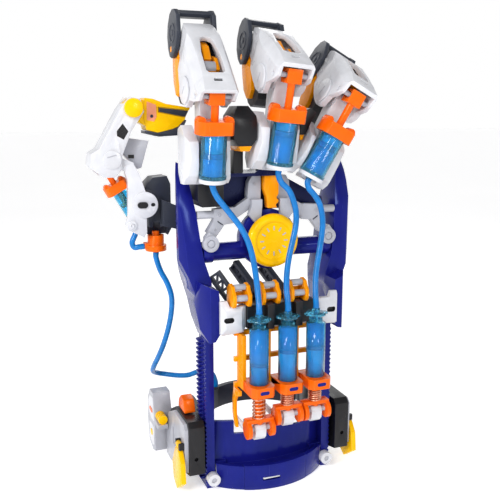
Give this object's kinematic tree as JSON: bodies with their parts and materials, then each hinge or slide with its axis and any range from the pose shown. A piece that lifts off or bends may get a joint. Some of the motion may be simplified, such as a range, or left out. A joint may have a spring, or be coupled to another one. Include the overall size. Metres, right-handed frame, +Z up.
{
  "type": "hydraulic arm kit",
  "caption": "Toy hydraulic arm: a hand with jointed fingers and a thumb on a forearm frame, driven by water cylinders and hoses, with a sliding arm rest.",
  "frame": {"origin": "midway between the two side rails, in the plane of their front faces, on the standing plane", "axes": "+Z up along the forearm to the fingers, +Y out of the palm, +X away from the thumb"},
  "size_m": [0.2342, 0.1452, 0.397],
  "materials": {
    "blue_shell": "deep blue gloss",
    "navy_shell": "near-black navy gloss",
    "white_shell": "satin white",
    "grey_shell": "satin light grey",
    "dark_shell": "dark grey",
    "black_shell": "black",
    "orange_shell": "orange gloss",
    "amber_shell": "amber gloss",
    "yellow_shell": "yellow gloss",
    "clear_blue": "clear blue",
    "hose_blue": "soft blue hose",
    "copper_spring": "copper-coloured wire",
    "tip_rubber": "soft black rubber"
  },
  "bodies": {
    "base": {"left_frame": "blue_shell", "right_frame": "blue_shell", "forearm_cradle": "blue_shell", "end_caps": "white_shell", "syringe_bar": "black_shell", "syringe_rack": "amber_shell", "input_barrels": "clear_blue", "hose_clips": "amber_shell", "wrist_hub": "blue_shell", "wrist_links": "grey_shell", "palm_block": "navy_shell", "knuckle_brackets": "white_shell", "knuckle_bumpers": "black_shell", "centre_strut": "amber_shell", "output_barrels": "clear_blue", "output_caps": "orange_shell", "finger_hoses": "hose_blue", "thumb_hoses": "hose_blue", "thumb_housing": "dark_shell"},
    "dial": {"dial": "yellow_shell"},
    "carriage": {"slider_blocks": "black_shell", "arm_cuff": "dark_shell", "thumb_input": "grey_shell"},
    "thumb_knob": {"thumb_knob": "orange_shell"},
    "left_lock": {"left_lock": "yellow_shell"},
    "right_lock": {"right_lock": "yellow_shell"},
    "swing_rod": {"swing_rod": "orange_shell"},
    "thumb_lever": {"thumb_lever": "white_shell", "thumb_cylinder": "orange_shell"},
    "thumb_rod": {"thumb_rod": "orange_shell"},
    "thumb_shell": {"thumb_shell": "white_shell"},
    "thumb_tip": {"thumb_tip": "yellow_shell", "thumb_grip": "dark_shell"},
    "index_bone_1": {"index_shell": "white_shell", "index_linkage": "amber_shell"},
    "index_bone_2": {"index_side_plates": "dark_shell"},
    "index_bone_3": {"index_distal": "amber_shell", "index_pad": "tip_rubber"},
    "index_rod": {"index_rod": "orange_shell"},
    "index_plunger": {"index_plunger": "orange_shell", "index_spring": "copper_spring"},
    "index_cradle": {"index_cradle": "white_shell"},
    "middle_bone_1": {"middle_shell": "white_shell", "middle_linkage": "amber_shell"},
    "middle_bone_2": {"middle_side_plates": "dark_shell"},
    "middle_bone_3": {"middle_distal": "amber_shell", "middle_pad": "tip_rubber"},
    "middle_rod": {"middle_rod": "orange_shell"},
    "middle_plunger": {"middle_plunger": "orange_shell", "middle_spring": "copper_spring"},
    "middle_cradle": {"middle_cradle": "white_shell"},
    "ring_bone_1": {"ring_shell": "white_shell", "ring_linkage": "amber_shell"},
    "ring_bone_2": {"ring_side_plates": "dark_shell"},
    "ring_bone_3": {"ring_distal": "amber_shell", "ring_pad": "tip_rubber"},
    "ring_rod": {"ring_rod": "orange_shell"},
    "ring_plunger": {"ring_plunger": "orange_shell", "ring_spring": "copper_spring"},
    "ring_cradle": {"ring_cradle": "white_shell"}
  },
  "joints": [
    {"name": "dial_turn", "type": "hinge", "parent": "base", "child": "dial", "pos_m": [0, 0, 0.214], "axis": [0, 1, 0], "range_deg": [-60, 60]},
    {"name": "carriage_slide", "type": "slide", "parent": "base", "child": "carriage", "axis": [0, 0, 1], "range_m": [0, 0.05], "deforming": ["thumb_hoses"]},
    {"name": "left_lock_turn", "type": "hinge", "parent": "carriage", "child": "left_lock", "pos_m": [-0.0806, 0.0055, 0.0426], "axis": [0, 1, 0], "range_deg": [0, 35]},
    {"name": "right_lock_turn", "type": "hinge", "parent": "carriage", "child": "right_lock", "pos_m": [0.0806, 0.0055, 0.0426], "axis": [0, -1, 0], "range_deg": [0, 35]},
    {"name": "thumb_flex", "type": "hinge", "parent": "thumb_lever", "child": "thumb_shell", "pos_m": [-0.1217, 0.053, 0.2802], "axis": [0, 1, 0], "range_deg": [-10, 20]},
    {"name": "thumb_rod_slide", "type": "slide", "parent": "thumb_lever", "child": "thumb_rod", "axis": [-0.5, 0, 0.866], "range_m": [-0.0013, 0.0026]},
    {"name": "thumb_tip_bend", "type": "hinge", "parent": "thumb_shell", "child": "thumb_tip", "pos_m": [-0.1032, 0.053, 0.3212], "axis": [0, 1, 0], "range_deg": [-5, 9]},
    {"name": "thumb_knob_slide", "type": "slide", "parent": "carriage", "child": "thumb_knob", "axis": [0, 1, 0], "range_m": [-0.004, 0.008]},
    {"name": "thumb_swing", "type": "hinge", "parent": "base", "child": "thumb_lever", "pos_m": [-0.0952, 0.046, 0.2422], "axis": [0, 1, 0], "range_deg": [-12, 12]},
    {"name": "swing_rod_slide", "type": "slide", "parent": "base", "child": "swing_rod", "axis": [0, 0, 1], "range_m": [-0.003, 0.003]},
    {"name": "index_knuckle", "type": "hinge", "parent": "base", "child": "index_bone_1", "pos_m": [-0.056, -0.004, 0.334], "axis": [-1, 0, 0], "range_deg": [-22, 20]},
    {"name": "index_middle", "type": "hinge", "parent": "index_bone_1", "child": "index_bone_2", "pos_m": [-0.056, 0.02425, 0.37584], "axis": [-1, 0, 0], "range_deg": [-9, 5]},
    {"name": "index_end", "type": "hinge", "parent": "index_bone_2", "child": "index_bone_3", "pos_m": [-0.056, 0.03639, 0.36702], "axis": [-1, 0, 0], "range_deg": [-7, 4]},
    {"name": "index_rod_slide", "type": "slide", "parent": "base", "child": "index_rod", "axis": [0, -0.1392, 0.9903], "range_m": [-0.0086, 0.0078]},
    {"name": "index_plunger_slide", "type": "slide", "parent": "base", "child": "index_plunger", "axis": [0, 0, 1], "range_m": [-0.0116, 0.0106], "deforming": ["index_spring"]},
    {"name": "index_cradle_tilt", "type": "hinge", "parent": "index_plunger", "child": "index_cradle", "pos_m": [-0.025, -0.037, 0.0666], "axis": [1, 0, 0], "range_deg": [-15, 15]},
    {"name": "middle_knuckle", "type": "hinge", "parent": "base", "child": "middle_bone_1", "pos_m": [0.004, -0.008, 0.343], "axis": [-0.9962, 0, 0.0872], "range_deg": [-40, 4]},
    {"name": "middle_middle", "type": "hinge", "parent": "middle_bone_1", "child": "middle_bone_2", "pos_m": [0.00671, 0.0318, 0.37394], "axis": [-0.9962, 0, 0.0872], "range_deg": [-9, 5]},
    {"name": "middle_end", "type": "hinge", "parent": "middle_bone_2", "child": "middle_bone_3", "pos_m": [0.00565, 0.04062, 0.36185], "axis": [-0.9962, 0, 0.0872], "range_deg": [-7, 4]},
    {"name": "middle_rod_slide", "type": "slide", "parent": "base", "child": "middle_rod", "axis": [0.0863, -0.1392, 0.9865], "range_m": [-0.016, 0.0018]},
    {"name": "middle_plunger_slide", "type": "slide", "parent": "base", "child": "middle_plunger", "axis": [0, 0, 1], "range_m": [-0.0212, 0.0024], "deforming": ["middle_spring"]},
    {"name": "middle_cradle_tilt", "type": "hinge", "parent": "middle_plunger", "child": "middle_cradle", "pos_m": [0, -0.037, 0.0745], "axis": [1, 0, 0], "range_deg": [-15, 15]},
    {"name": "ring_knuckle", "type": "hinge", "parent": "base", "child": "ring_bone_1", "pos_m": [0.057, -0.0084, 0.327], "axis": [-0.8829, 0, 0.4695], "range_deg": [-40, 4]},
    {"name": "ring_middle", "type": "hinge", "parent": "ring_bone_1", "child": "ring_bone_2", "pos_m": [0.07158, 0.0314, 0.35443], "axis": [-0.8829, 0, 0.4695], "range_deg": [-9, 5]},
    {"name": "ring_end", "type": "hinge", "parent": "ring_bone_2", "child": "ring_bone_3", "pos_m": [0.06589, 0.04022, 0.34371], "axis": [-0.8829, 0, 0.4695], "range_deg": [-7, 4]},
    {"name": "ring_rod_slide", "type": "slide", "parent": "base", "child": "ring_rod", "axis": [0.4649, -0.1392, 0.8744], "range_m": [-0.016, 0.0018]},
    {"name": "ring_plunger_slide", "type": "slide", "parent": "base", "child": "ring_plunger", "axis": [0, 0, 1], "range_m": [-0.0212, 0.0024], "deforming": ["ring_spring"]},
    {"name": "ring_cradle_tilt", "type": "hinge", "parent": "ring_plunger", "child": "ring_cradle", "pos_m": [0.025, -0.037, 0.0745], "axis": [1, 0, 0], "range_deg": [-15, 15]}
  ],
  "couplings": [
    {"joint": "thumb_rod_slide", "follows": "thumb_flex", "m_per_rad": 0.007},
    {"joint": "thumb_tip_bend", "follows": "thumb_flex", "ratio": 0.3},
    {"joint": "thumb_knob_slide", "follows": "thumb_flex", "m_per_rad": 0.02},
    {"joint": "swing_rod_slide", "follows": "thumb_swing", "m_per_rad": 0.012},
    {"joint": "index_middle", "follows": "index_knuckle", "ratio": 0.2},
    {"joint": "index_end", "follows": "index_knuckle", "ratio": 0.15},
    {"joint": "index_rod_slide", "follows": "index_knuckle", "m_per_rad": 0.0218},
    {"joint": "index_plunger_slide", "follows": "index_knuckle", "m_per_rad": 0.0293},
    {"joint": "middle_middle", "follows": "middle_knuckle", "ratio": 0.2},
    {"joint": "middle_end", "follows": "middle_knuckle", "ratio": 0.15},
    {"joint": "middle_rod_slide", "follows": "middle_knuckle", "m_per_rad": 0.022},
    {"joint": "middle_plunger_slide", "follows": "middle_knuckle", "m_per_rad": 0.0296},
    {"joint": "ring_middle", "follows": "ring_knuckle", "ratio": 0.2},
    {"joint": "ring_end", "follows": "ring_knuckle", "ratio": 0.15},
    {"joint": "ring_rod_slide", "follows": "ring_knuckle", "m_per_rad": 0.022},
    {"joint": "ring_plunger_slide", "follows": "ring_knuckle", "m_per_rad": 0.0296}
  ]
}
